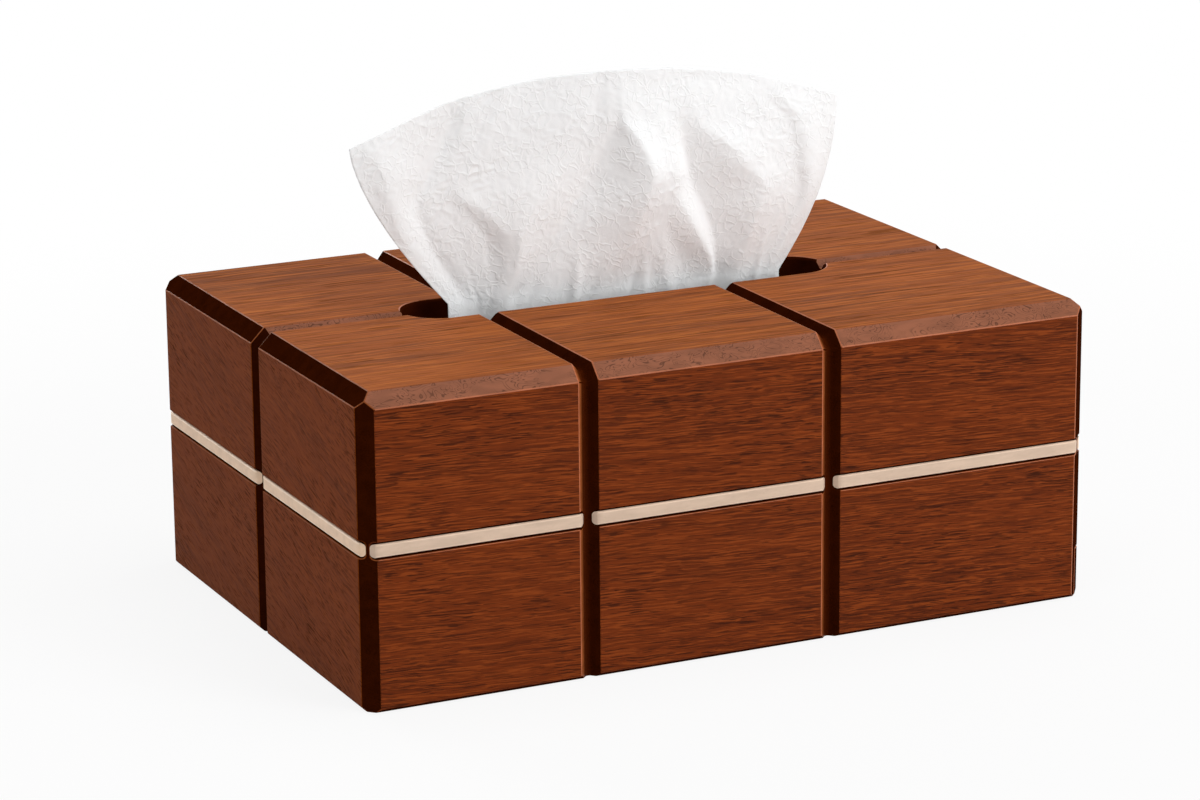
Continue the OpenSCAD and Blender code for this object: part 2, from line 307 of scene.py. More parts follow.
def under_skin(tree, place):
    """How deep a place lies under the box's outer faces and chamfers, in millimetres."""
    size = put(tree, "ShaderNodeVectorMath", {0: place}, operation="ABSOLUTE").outputs[0]
    part = put(tree, "ShaderNodeSeparateXYZ", {0: stretch(tree, size, (1000.0, 1000.0, 1000.0))}).outputs
    reaches = (HALF_LENGTH, HALF_WIDTH, BOX_TOP)
    a, b, c = [calc(tree, "SUBTRACT", reach / MM, part[i]) for i, reach in enumerate(reaches)]
    least = calc(tree, "MINIMUM", calc(tree, "MINIMUM", a, b), c)
    for one, other in ((a, b), (a, c), (b, c)):
        past = calc(tree, "SUBTRACT", calc(tree, "ADD", one, other), CHAMFER / MM)
        least = calc(tree, "MINIMUM", least, calc(tree, "MULTIPLY", past, math.sqrt(0.5)))
    return least


def routed_grain(name, wood, colour, contrast, shine, deep=None, start=0.5, end=2.0):
    """Wood where a cutter ran: curled lines of the cut grain on one ground colour, which turns
    to the colour deep between start and end millimetres under the skin."""
    material, tree, shader, place = start_material(name, wood.roughness * 0.85, shine)
    mapped = in_millimetres(tree, place)
    cloud = grain_noise(tree, mapped, (0.10, 0.30, 0.30), 3.0, 0.5, 0.4)
    figure = grain_noise(tree, mapped, (0.15, 0.30, 0.30), 1.0, 0.45, 1.8)
    wave = calc(tree, "FRACT", calc(tree, "MULTIPLY", figure, 8.0))
    line = calc(tree, "ABSOLUTE", calc(tree, "SUBTRACT", wave, 0.5))
    thin = between(tree, line, 0.19, 0.05)
    patch = between(tree, grain_noise(tree, mapped, (0.10, 0.25, 0.25), 1.0), 0.30, 0.55)
    lines = calc(tree, "MULTIPLY", thin, patch)
    base = tint(tree, between(tree, cloud, 0.30, 0.70), rgba(colour, 0.86), rgba(colour, 1.12))
    if deep:
        base = tint(tree, between(tree, under_skin(tree, place), start, end), base, rgba(deep))
    drawn = tint(tree, calc(tree, "MULTIPLY", lines, contrast), base, rgba(colour, 0.35))
    tree.links.new(drawn, shader.inputs["Base Color"])
    relief(tree, shader, calc(tree, "SUBTRACT", cloud, lines), 0.4, 0.05 * MM)
    return material


def cream_wood(name, cream):
    """Pale close-grained wood of the strips."""
    material, tree, shader, place = start_material(name, 0.45, 0.12)
    mapped = in_millimetres(tree, place)
    cloud = grain_noise(tree, mapped, (0.12, 0.35, 0.5), 3.0, 0.55)
    fleck = grain_noise(tree, mapped, (0.9, 2.2, 2.2), 2.0, 0.6)
    base = tint(tree, between(tree, cloud, 0.30, 0.70), rgba(cream, 0.93), rgba(cream, 1.05))
    flecks = calc(tree, "MULTIPLY", between(tree, fleck, 0.55, 0.75), 0.15)
    colour = tint(tree, flecks, base, rgba(cream, 0.7))
    tree.links.new(colour, shader.inputs["Base Color"])
    relief(tree, shader, fleck, 0.3, 0.03 * MM)
    return material


def tissue_paper(tissue):
    """Soft white paper with a fine emboss on its own UV map, in millimetres across and up the sheet."""
    material, tree, shader, _ = start_material("tissue_paper", 0.85, 0.12)
    flat = put(tree, "ShaderNodeUVMap", uv_map="Flat").outputs[0]
    bend = put(tree, "ShaderNodeTexNoise", {
        "Vector": stretch(tree, flat, (0.45, 0.45, 1.0)), "Scale": 1.0, "Detail": 1.0}).outputs["Color"]
    bent = put(tree, "ShaderNodeVectorMath", {
        0: bend, 1: (2.6, 2.6, 0.0), 2: flat}, operation="MULTIPLY_ADD").outputs[0]
    cells = put(tree, "ShaderNodeTexVoronoi", {
        "Vector": stretch(tree, bent, (0.46, 0.46, 1.0)), "Scale": 1.0, "Randomness": 1.0},
        feature="DISTANCE_TO_EDGE").outputs[0]
    shown = between(tree, grain_noise(tree, flat, (0.16, 0.16, 1.0), 1.0), 0.36, 0.52)
    lines = calc(tree, "MULTIPLY", between(tree, cells, 0.13, 0.0), shown)
    fuzz = grain_noise(tree, flat, (2.2, 2.2, 1.0), 4.0, 0.65)
    shade = tint(tree, fuzz, rgba(tissue.white, 0.985), rgba(tissue.white, 1.0))
    tree.links.new(shade, shader.inputs["Base Color"])
    height = calc(tree, "ADD", lines, calc(tree, "MULTIPLY", fuzz, 0.5))
    relief(tree, shader, height, 0.45, 0.16 * MM)
    return material


# Helpers for meshes

def pick(obj):
    """Makes obj the only selected and active object."""
    bpy.ops.object.select_all(action="DESELECT")
    obj.hide_viewport = False
    obj.select_set(True)
    bpy.context.view_layer.objects.active = obj


def copy_node(name, new_name):
    """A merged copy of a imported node, with plain polygons and no normals of its own."""
    pick(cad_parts[name])
    bpy.ops.object.duplicate()
    obj = bpy.context.view_layer.objects.active
    obj.name = new_name
    obj.data.name = new_name
    obj.parent = None
    obj.data.materials.clear()
    bpy.ops.mesh.customdata_custom_splitnormals_clear()
    bpy.ops.object.mode_set(mode="EDIT")
    bpy.ops.mesh.select_all(action="SELECT")
    bpy.ops.mesh.remove_doubles(threshold=0.001 * MM)
    bpy.ops.mesh.dissolve_limited(angle_limit=math.radians(0.5))
    bpy.ops.mesh.select_all(action="DESELECT")
    bpy.ops.object.mode_set(mode="OBJECT")
    return obj


def depths(point):
    """How far a point lies inside the ends, the long sides and the top of the box."""
    return HALF_LENGTH - abs(point.x), HALF_WIDTH - abs(point.y), BOX_TOP - point.z


def in_joint(face):
    """True where a face lies in a mitre between two boards."""
    close = 0.02 * MM
    for a, b in ((0, 1), (0, 2), (1, 2)):
        if all(abs(depths(v.co)[a] - depths(v.co)[b]) < close for v in face.verts):
            return True
    return False


def round_arrises(obj, radius, steps, material=-1, least=25, most=120, reach=4.5 * MM):
    """Bevels the convex edges that turn by least to most degrees, lie within reach of the box's
    faces and are in no joint."""
    pick(obj)
    bpy.ops.object.mode_set(mode="EDIT")
    bpy.ops.mesh.select_mode(type="EDGE")
    bpy.ops.mesh.select_all(action="DESELECT")
    mesh = bmesh.from_edit_mesh(obj.data)
    for edge in mesh.edges:
        if len(edge.link_faces) != 2:
            continue
        if not math.radians(least) < edge.calc_face_angle_signed() < math.radians(most):
            continue
        middle = (edge.verts[0].co + edge.verts[1].co) / 2
        outside = min(*depths(middle), middle.z) < reach
        edge.select = outside and not any(in_joint(f) for f in edge.link_faces)
    bmesh.update_edit_mesh(obj.data)
    bpy.ops.mesh.bevel(
        offset=radius, segments=steps, affect="EDGES", clamp_overlap=False, material=material)
    bpy.ops.object.mode_set(mode="OBJECT")


def smooth(obj, degrees):
    """Smooth shading below an angle, with large faces kept flat."""
    pick(obj)
    bpy.ops.object.shade_smooth_by_angle(angle=math.radians(degrees), keep_sharp_edges=False)
    modifier = obj.modifiers.new("Flat faces", "WEIGHTED_NORMAL")
    modifier.keep_sharp = True
    bpy.ops.object.modifier_apply(modifier=modifier.name)


def hand_over(obj, node, body):
    """Lets a finished piece stand for its node, on the node's body."""
    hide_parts(node)
    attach(obj, body)


# Places of a board's woods among its materials
FACE, FIGURED_AND_SHEEN, ROUTED_AND_SHADED, PAINTED_LIGHT, SLOT, PAINTED_HIGHLIGHT = range(6)

# Depths under the box's skin that the faces of the grooves and of the strips'
# channel lie between, and half the width of the band that holds the long groove
CUT_START, CUT_DEPTH = 0.4 * MM, 2.4 * MM
LONG_GROOVE_REACH = 4 * MM


def in_slot(point):
    """True for a place in the slot that the tissue stands in."""
    return abs(point.x) < SLOT_REACH.x and abs(point.y) < SLOT_REACH.y


def skin_depth(point):
    """How far a point lies under the box's outer faces and chamfers."""
    a, b, c = depths(point)
    slopes = [(one + other - CHAMFER) * math.sqrt(0.5) for one, other in ((a, b), (a, c), (b, c))]
    return min(a, b, c, *slopes)


def paint_board(obj):
    """Gives each face its wood, by its place and by the way it faces, which paints light and shade on it.
    """
    for polygon in obj.data.polygons:
        n, place = polygon.normal, polygon.center
        in_cut = CUT_START < skin_depth(place) < CUT_DEPTH and abs(place.y) >= LONG_GROOVE_REACH
        # The slot's walls take the darkest stain as painted shade
        if in_slot(place) and abs(n.z) < 0.9:
            wood = SLOT
        elif in_cut:
            # Walls that face right get painted light; the others get dark stain with painted shade
            wood = PAINTED_LIGHT if n.x > 0.3 and n.z > -0.1 else ROUTED_AND_SHADED
        elif max(abs(n.x), abs(n.y), abs(n.z)) > 0.93:
            wood = FACE
        elif abs(n.x) < 0.35 and n.z > -0.2:
            # Chamfers and the long groove, cut along the grain, pale with painted sheen
            wood = FIGURED_AND_SHEEN
        else:
            # End and corner chamfers and faces that look down: dark stain with painted shade
            wood = ROUTED_AND_SHADED
        polygon.material_index = wood


def tone_arrises(obj):
    """Keeps the painted highlight on arrises that catch the light, and dims or removes it on the rest."""
    for polygon in obj.data.polygons:
        if polygon.material_index != PAINTED_HIGHLIGHT:
            continue
        n, place = polygon.normal, polygon.center
        on_left_end = place.x < -HALF_LENGTH + CHAMFER + 1 * MM
        faces_left = n.x < -0.1
        if skin_depth(place) > 0.3 * MM:
            polygon.material_index = SLOT if in_slot(place) else ROUTED_AND_SHADED
        elif n.z < -0.2 or (faces_left and abs(n.z) < 0.2):
            # Undersides, and upright arrises that face left
            polygon.material_index = FACE
        # Some arrises that face left, and those that face straight up, get the dimmer painted light
        elif faces_left and (n.z < 0.5 or on_left_end):
            polygon.material_index = PAINTED_LIGHT
        elif n.z > 0.8 and abs(n.x) < 0.1:
            polygon.material_index = PAINTED_LIGHT


# Operators

class TISSUEBOX_OT_boards(Operator):
    """Dresses the top, the four sides and the rail in stained wood with rounded arrises and painted light
    and shade
    """
    bl_idname = "tissuebox.boards"
    bl_label = "Grooved boards"

    def execute(self, context):
        wood = context.scene.tissue_box_wood
        cuts = (
            # Pale side grain with painted sheen
            routed_grain("figured_chamfer_sheen", wood, wood.figured_and_sheen, 0.75, 0.06),
            # Dark end-grain stain with painted shade, darkest near the skin where groove walls are
            # shaded, a lighter brown deeper down
            routed_grain(
                "end_grain_stain_and_shade", wood, wood.routed_and_shaded, 0.35, 0.0,
                deep=rgba(wood.routed_and_shaded, 1.4), start=1.0, end=2.1),
            # Painted light on the walls that face right, fading into painted shade deeper in the cut
            routed_grain(
                "painted_light_groove_edge", wood, wood.painted_light, 0.3, 0.03,
                deep=rgba(wood.routed_and_shaded, 1.5), start=0.3, end=1.6),
            # The darkest stain as painted shade inside the slot
            routed_grain("slot_painted_shade", wood, wood.routed_and_shaded, 0.2, 0.0),
            # Painted highlights on the arrises
            routed_grain("painted_arris_highlight", wood, wood.painted_highlight, 0.2, 0.15),
        )
        rise, lean = math.radians(3), math.radians(17)
        across = (-lean, 0, math.radians(90))
        end_figure = {
            "gain": (1.08, 1.2, 0.8), "width": 0.9, "depth": 0.55, "glint": 0.35, "pore": 0.7,
            "shine": 0.4, "bend": 6.0, "run": 0.8}
        faces = {
            # The top's gain lightens and pales its wood: painted light from above and painted sheen
            "top_panel": long_grain(
                "top_wood_painted_sheen", wood, (0, 0, 0), gain=(2.02, 2.95, 3.3), shift=0.31, width=2.2, glint=0.7,
                pore=0.45, shine=0.3, run=2.4),
            "front_wall": long_grain("front_wood", wood, (0, -rise, 0)),
            "back_wall": long_grain("back_wood", wood, (0, rise, 0), shift=0.17),
            "left_end": long_grain("left_wood", wood, across, shift=0.53, **end_figure),
            "right_end": long_grain("right_wood", wood, across, shift=0.71, **end_figure),
        }
        faces["end_rail"] = faces["right_end"]
        for name in BOARDS:
            obj = copy_node(name, name + "_wood")
            for material in (faces[name], *cuts):
                obj.data.materials.append(material)
            paint_board(obj)
            # New arris faces start with the painted highlight, which tone_arrises then sorts by the way
            # they face
            round_arrises(obj, wood.arris, wood.arris_steps, PAINTED_HIGHLIGHT)
            tone_arrises(obj)
            smooth(obj, 30)
            hand_over(obj, name, "bottom_tray" if name == "end_rail" else "box")
        return {"FINISHED"}


class TISSUEBOX_OT_bottom(Operator):
    """Gives the sliding bottom panel eased edges and plain wood"""
    bl_idname = "tissuebox.bottom"
    bl_label = "Sliding bottom"

    def execute(self, context):
        wood = context.scene.tissue_box_wood
        obj = copy_node("sliding_bottom", "sliding_bottom_wood")
        pick(obj)
        bpy.ops.object.mode_set(mode="EDIT")
        bpy.ops.mesh.select_all(action="SELECT")
        bpy.ops.mesh.bevel(offset=wood.arris, segments=2, affect="EDGES")
        bpy.ops.object.mode_set(mode="OBJECT")
        obj.data.materials.append(long_grain("bottom_wood", wood, (0, 0, 0), gain=1.3, shift=0.9))
        smooth(obj, 30)
        hand_over(obj, "sliding_bottom", "bottom_tray")
        return {"FINISHED"}


class TISSUEBOX_OT_strips(Operator):
    """Rounds the pale strips and gives them close-grained cream wood, with a painted highlight on their
    rims
    """
    bl_idname = "tissuebox.strips"
    bl_label = "Inlay strips"

    def execute(self, context):
        inlay = context.scene.tissue_box_inlay
        # The lighter rim copy of each cream is a painted highlight on the strips' rounded edges
        long_side = [cream_wood("pale_strip_wood", rgba(inlay.cream)),
                     cream_wood("pale_strip_rim_highlight", rgba(inlay.cream, 1.22))]
        end_side = [cream_wood("pale_end_wood", rgba(inlay.cream, (1.34, 1.30, 1.22))),
                    cream_wood("pale_end_rim_highlight", rgba(inlay.cream, (1.58, 1.62, 1.62)))]
        for name in STRIPS:
            obj = copy_node(name, name + "_inlay")
            for material in long_side if name.startswith(("front", "back")) else end_side:
                obj.data.materials.append(material)
            round_arrises(obj, inlay.corner, 4, least=30, most=60, reach=2.2 * MM)
            # Rounded edges get the lighter rim, a painted highlight
            round_arrises(obj, inlay.arris, 3, material=1, least=70, most=110, reach=0.4 * MM)
            smooth(obj, 50)
            hand_over(obj, name, "box")
        return {"FINISHED"}


# Folds of the standing sheet, from its left side to its right. Each line is a
# crest or a valley and runs up the sheet as points: height above the floor,
# place to the right, distance out to the front, all in millimetres, and how
# sharp it is, from 0, round, to 1, a crease.
FOLD_LINES = (
    # crest beside the left edge
    ((54, -42.0, 0.3, 0.0), (75, -44.0, -0.2, 0.0), (84, -50.0, -0.1, 0.0), (92, -55.5, 0.3, 0.1),
     (100, -58.2, 0.9, 0.2), (108, -60.2, 1.2, 0.3), (115, -62.2, 1.0, 0.3), (122, -58.0, 0.4, 0.0)),
    # valley down to the left side of the hollow
    ((54, -37.0, -0.8, 0.0), (75, -39.2, -0.8, 0.6), (80, -42.0, -1.0, 0.8), (87, -46.4, -1.2, 0.9),
     (95, -49.8, -1.4, 0.9), (101, -50.8, -1.6, 0.7), (108, -46.8, -1.9, 0.6), (116, -43.2, -1.6, 0.5),
     (125, -40.5, -0.6, 0.0)),
    # floor of the hollow, left side
    ((54, -35.0, -0.4, 0.0), (75, -36.0, -0.5, 0.2), (80, -37.8, -0.4, 0.2), (87, -41.0, -0.4, 0.2),
     (95, -45.0, -0.8, 0.2), (100, -47.6, -1.1, 0.3), (104, -44.5, -0.9, 0.3), (112, -40.0, -0.4, 0.3),
     (125, -37.0, 0.1, 0.0)),
    # floor of the hollow, right side
    ((54, -34.0, -0.4, 0.0), (75, -34.8, 0.2, 0.4), (80, -33.6, 0.3, 0.5), (87, -33.4, 0.3, 0.5),
     (92, -35.4, 0.2, 0.5), (97, -40.0, -0.3, 0.5), (101, -44.5, -0.9, 0.3), (105, -42.0, -0.7, 0.3),
     (112, -38.0, -0.2, 0.3), (125, -34.0, 0.3, 0.0)),
    # crest round the right side and the top of the hollow
    ((54, -31.5, 0.2, 0.0), (75, -32.0, 2.2, 0.6), (80, -29.8, 2.7, 0.6), (86, -28.2, 2.9, 0.5),
     (91, -28.8, 2.7, 0.5), (96, -32.5, 1.7, 0.5), (100, -37.5, 0.6, 0.5), (103.5, -41.0, -0.2, 0.3),
     (112, -34.0, 0.5, 0.3), (125, -28.0, 1.1, 0.0)),
    # crest that runs up from it to the middle of the free edge
    ((54, -30.0, 0.2, 0.0), (75, -30.0, 2.8, 0.2), (80, -28.3, 3.3, 0.3), (86, -26.8, 3.6, 0.3),
     (91, -26.0, 3.6, 0.3), (97, -22.0, 3.4, 0.3), (104, -16.8, 3.1, 0.3), (110, -12.2, 3.1, 0.3),
     (117, -8.0, 3.6, 0.0), (126, -6.0, 3.8, 0.0)),
    # foot of the middle wedge
    ((54, -27.0, 0.0, 0.0), (75, -26.5, 1.5, 0.2), (80, -23.0, 1.8, 0.4), (86, -18.8, 1.9, 0.5),
     (92, -14.8, 2.0, 0.6), (100, -9.3, 2.2, 0.6), (107, -5.8, 2.9, 0.6), (113, -3.2, 4.0, 0.5),
     (118, -1.5, 4.8, 0.0), (126, -2.0, 4.5, 0.0)),
    # sharp crest on the right side of the middle wedge
    ((54, -4.0, 1.0, 0.0), (75, -5.5, 4.0, 0.8), (80, -3.2, 5.0, 0.9), (86, 1.0, 6.5, 1.0),
     (92, 3.0, 7.8, 0.9), (98, 4.9, 8.8, 0.8), (103, 6.3, 9.0, 0.7), (108, 5.2, 8.3, 0.7),
     (113, 3.0, 7.0, 0.7), (117, 0.4, 5.7, 0.4), (126, 0.0, 4.8, 0.0)),
    # valley under the left side of the bright tongue
    ((54, 9.0, 0.4, 0.0), (75, 17.5, 3.6, 0.1), (80, 16.5, 4.3, 0.2), (86, 12.6, 5.3, 0.4),
     (92, 11.0, 6.4, 0.5), (97, 12.6, 7.2, 0.5), (104, 13.0, 7.4, 0.5), (112, 11.0, 6.4, 0.4),
     (124, 9.0, 5.0, 0.0)),
    # crest on the left side of the bright tongue
    ((54, 16.0, 0.4, 0.0), (75, 24.0, 4.4, 0.4), (80, 23.8, 5.8, 0.8), (86, 20.4, 6.6, 0.6),
     (92, 16.8, 6.9, 0.5), (97, 14.2, 6.9, 0.5), (104, 14.2, 6.9, 0.5), (112, 12.6, 6.1, 0.4),
     (124, 11.0, 4.9, 0.0)),
    # valley on the left side of the right wedge
    ((54, 20.0, 0.0, 0.0), (75, 26.2, 3.0, 0.4), (80, 25.3, 3.9, 0.5), (86, 24.8, 4.2, 0.5),
     (93, 22.2, 4.2, 0.6), (100, 18.9, 4.3, 0.6), (107, 17.2, 4.7, 0.6), (113, 16.2, 5.2, 0.5),
     (118, 15.9, 5.4, 0.1), (126, 16.0, 4.8, 0.0)),
    # crest on the right side of the right wedge
    ((54, 26.0, 0.8, 0.0), (75, 30.5, 5.2, 0.8), (80, 32.0, 6.2, 0.9), (86, 33.9, 7.2, 1.0),
     (92, 35.6, 7.8, 0.9), (98, 36.8, 7.9, 0.7), (103, 32.6, 7.7, 0.6), (109, 27.4, 7.1, 0.6),
     (114, 21.6, 6.1, 0.5), (118, 19.4, 5.6, 0.1), (126, 19.0, 4.8, 0.0)),
    # valley down the right part
    ((54, 33.0, -0.2, 0.0), (75, 37.0, 4.4, 0.4), (84, 42.3, 5.4, 0.4), (93, 47.2, 6.0, 0.4),
     (105, 46.4, 6.2, 0.5), (113, 44.4, 5.9, 0.5), (118, 40.4, 5.6, 0.4), (124, 36.0, 5.0, 0.0)),
    # crest beside the right edge
    ((54, 37.0, 0.5, 0.0), (75, 40.0, 4.6, 0.3), (84, 46.0, 5.7, 0.2), (95, 50.0, 6.7, 0.1),
     (105, 49.6, 6.8, 0.1), (113, 48.2, 6.4, 0.1), (118, 44.6, 5.9, 0.1), (124, 40.0, 5.1, 0.0)),
)
LEFT_EDGE_OUT, RIGHT_EDGE_OUT = 0.0, 5.2
# How far the whole sheet stands back from those distances
SET_BACK = 2.2

# Narrow pleats by the slot, in millimetres: place and height of the lower end,
# place and height of the upper end, how far it stands out, and its half width
PLEATS = (
    (-35.5, 72, -31.0, 88, 0.5, 0.8),
    (-24.0, 72, -20.0, 83, -0.6, 1.2),
    (-12.5, 72, -11.0, 88, 1.0, 1.3),
    (-8.5, 72, -6.0, 84, -0.5, 1.1),
    (2.5, 72, 5.0, 86, -0.8, 1.2),
    (6.5, 72, 6.0, 84, 0.6, 1.0),
    (13.0, 72, 10.5, 88, 0.9, 2.2),
    (33.5, 74, 44.5, 94, 0.5, 0.8),
    (36.5, 72, 38.5, 90, 0.8, 0.7),
    (39.0, 72, 49.0, 94, 0.8, 0.9),
    (41.5, 72, 53.0, 92, -0.5, 0.9),
)


def curve(a, b, slope_a, slope_b, share):
    """A cubic from a to b with the given slopes at its ends, over one step."""
    square, cube = share ** 2, share ** 3
    return ((2 * cube - 3 * square + 1) * a + (cube - 2 * square + share) * slope_a
            + (3 * square - 2 * cube) * b + (cube - square) * slope_b)


def along(line, height):
    """Place, distance and sharpness of a fold line at a height, on a smooth curve."""
    height = min(max(height, line[0][0]), line[-1][0])
    step = next(i for i in range(len(line) - 1) if height <= line[i + 1][0])
    before, low = line[max(step - 1, 0)], line[step]
    high, after = line[step + 1], line[min(step + 2, len(line) - 1)]
    reach = high[0] - low[0]
    share = (height - low[0]) / reach
    found = []
    for i in (1, 2, 3):
        slope_low = (high[i] - before[i]) / (high[0] - before[0]) * reach
        slope_high = (after[i] - low[i]) / (after[0] - low[0]) * reach
        found.append(curve(low[i], high[i], slope_low, slope_high, share))
    return found


def fold_distance(across, left, right, lines):
    """How far the folds stand out to the front at a place, in millimetres."""
    knots = [(left, LEFT_EDGE_OUT, 0.6), *lines, (right, RIGHT_EDGE_OUT, 0.6)]
    for (x1, out1, sharp1), (x2, out2, sharp2) in zip(knots, knots[1:]):
        if across <= x2:
            share = min(1.0, max(0.0, (across - x1) / max(0.5, x2 - x1)))
            rise = out2 - out1
            return curve(out1, out2, rise * sharp1, rise * sharp2, share)
    return RIGHT_EDGE_OUT


def pleat_distance(across, height):
    """How far the narrow pleats stand out at a place, in millimetres."""
    total = 0.0
    for low_x, low_z, high_x, high_z, out, half in PLEATS:
        share = (height - low_z) / (high_z - low_z)
        if share < 1:
            away = (across - (low_x + (high_x - low_x) * share)) / half
            fade = min(1.0, 1.4 * (1 - share)) * min(1.0, max(0.0, 2 + share * 4))
            total += out * fade * math.exp(-away * away)
    return total


class TISSUEBOX_OT_sheet(Operator):
    """Makes the tissue that stands out of the slot, with its folds and embossed crinkles"""
    bl_idname = "tissuebox.sheet"
    bl_label = "Standing tissue"

    def execute(self, context):
        tissue = context.scene.tissue_box_tissue
        noise.seed_set(NOISE_SEED)
        obj = fan_grid(tissue)
        shape_fan(obj, tissue)
        emboss(obj, tissue)
        solid = obj.modifiers.new("Thickness", "SOLIDIFY")
        solid.thickness = tissue.ply
        solid.offset = 0.0
        pick(obj)
        bpy.ops.object.modifier_apply(modifier=solid.name)
        bpy.ops.object.shade_smooth()
        obj.data.materials.append(tissue_paper(tissue))
        hand_over(obj, "tissue_sheet", "box")
        return {"FINISHED"}


def fan_grid(tissue):
    """A flat grid, one metre wide, with the UV map that the paper's emboss follows."""
    bpy.ops.object.select_all(action="DESELECT")
    bpy.ops.mesh.primitive_grid_add(
        x_subdivisions=tissue.columns, y_subdivisions=tissue.rows, size=1.0, calc_uvs=True,
        location=(0, 0, 0))
    obj = bpy.context.view_layer.objects.active
    obj.name = "tissue_sheet_paper"
    obj.data.uv_layers[0].name = "Flat"
    return obj


# The fan's outline, in metres: reach to the left and right at the slot and at
# the tips, heights of the tips and the rise of the curved edge between them,
# and the share of the sheet's rows that stand in the box
WAIST_LEFT, WAIST_RIGHT = 44.0 * MM, 43.0 * MM
TIP_LEFT, TIP_RIGHT = -SHEET_LOW.x, SHEET_HIGH.x
TIP_LEFT_Z, TIP_RIGHT_Z = BOX_TOP + 40.5 * MM, BOX_TOP + 42.9 * MM
CROWN = 12.6 * MM
LOW_SHARE = 0.20


def fan_point(u, v):
    """Place of a point of the sheet before its folds; v below LOW_SHARE is in the box."""
    if v < LOW_SHARE:
        x = -WAIST_LEFT + (WAIST_LEFT + WAIST_RIGHT) * u
        return x, STACK_HIGH.z + (BOX_TOP - STACK_HIGH.z) * (v / LOW_SHARE)
    rise = (v - LOW_SHARE) / (1 - LOW_SHARE)
    left = -WAIST_LEFT - (TIP_LEFT - WAIST_LEFT) * (1 - (1 - rise) ** 1.5)
    right = WAIST_RIGHT + (TIP_RIGHT - WAIST_RIGHT) * (1 - (1 - rise) ** 2.0)
    edge = TIP_LEFT_Z + (TIP_RIGHT_Z - TIP_LEFT_Z) * u + 4 * CROWN * u * (1 - u)
    return left + (right - left) * u, BOX_TOP + (edge - BOX_TOP) * rise


def shape_fan(obj, tissue):
    """Moves the grid's points to the fan, with its large folds and its pleats."""
    mesh = obj.data
    lines_at = {}
    for vertex in mesh.vertices:
        u, v = vertex.co.x + 0.5, vertex.co.y + 0.5
        x, z = fan_point(u, v)
        left, _ = fan_point(0.0, v)
        right, _ = fan_point(1.0, v)
        across, height = x / MM, z / MM
        key = round(height, 1)
        if key not in lines_at:
            lines_at[key] = [along(line, key) for line in FOLD_LINES]
        folds = fold_distance(across, left / MM, right / MM, lines_at[key])
        out = (folds - SET_BACK) * tissue.fold_depth
        out += pleat_distance(across, height)
        vertex.co = (x, -out * MM, z)
    for loop, uv in zip(mesh.loops, mesh.uv_layers["Flat"].data):
        point = mesh.vertices[loop.vertex_index].co
        uv.uv = (point.x / MM, point.z / MM)
    pick(obj)
    bpy.ops.object.mode_set(mode="EDIT")
    bpy.ops.mesh.select_all(action="SELECT")
    bpy.ops.mesh.vertices_smooth(factor=0.5, repeat=5, xaxis=False, zaxis=False)
    bpy.ops.object.mode_set(mode="OBJECT")


def crease(point, cell, width):
    """1 on the border between two cells of a random pattern, 0 inside them."""
    (near, far, *_), _ = noise.voronoi(Vector((point.x / cell, point.y / cell, point.z / cell)))
    away = min(1.0, (far - near) / width)
    return (1 - away) ** 2 * (1 + 2 * away)


def emboss(obj, tissue):
    """Presses a network of curled crinkles into the sheet, stronger towards its free edge."""
    for vertex in obj.data.vertices:
        place = Vector((vertex.co.x, 0.0, vertex.co.z)) / MM
        bend = noise.noise_vector(place * 0.33) * 2.4
        point = place + Vector((bend.x, 0.0, bend.z))
        shown = min(1.0, max(0.5, 0.75 + 1.2 * noise.noise(place * 0.21 + Vector((5, 9, 2)))))
        lines = crease(point, 2.8, 0.26) * shown
        lines += 0.8 * crease(point + Vector((31, 0, 17)), 2.0, 0.34) * (1 - 0.5 * shown)
        swell = noise.noise(point * 0.4)
        free = min(1.0, max(0.0, (place.z - BOX_TOP / MM - 8) / 22))
        patch = min(1.0, max(0.5, 0.8 + 0.7 * noise.noise(place * 0.06)))
        vertex.co.y -= tissue.crinkle * (lines + 0.25 * swell) * (0.65 + 0.35 * free) * patch


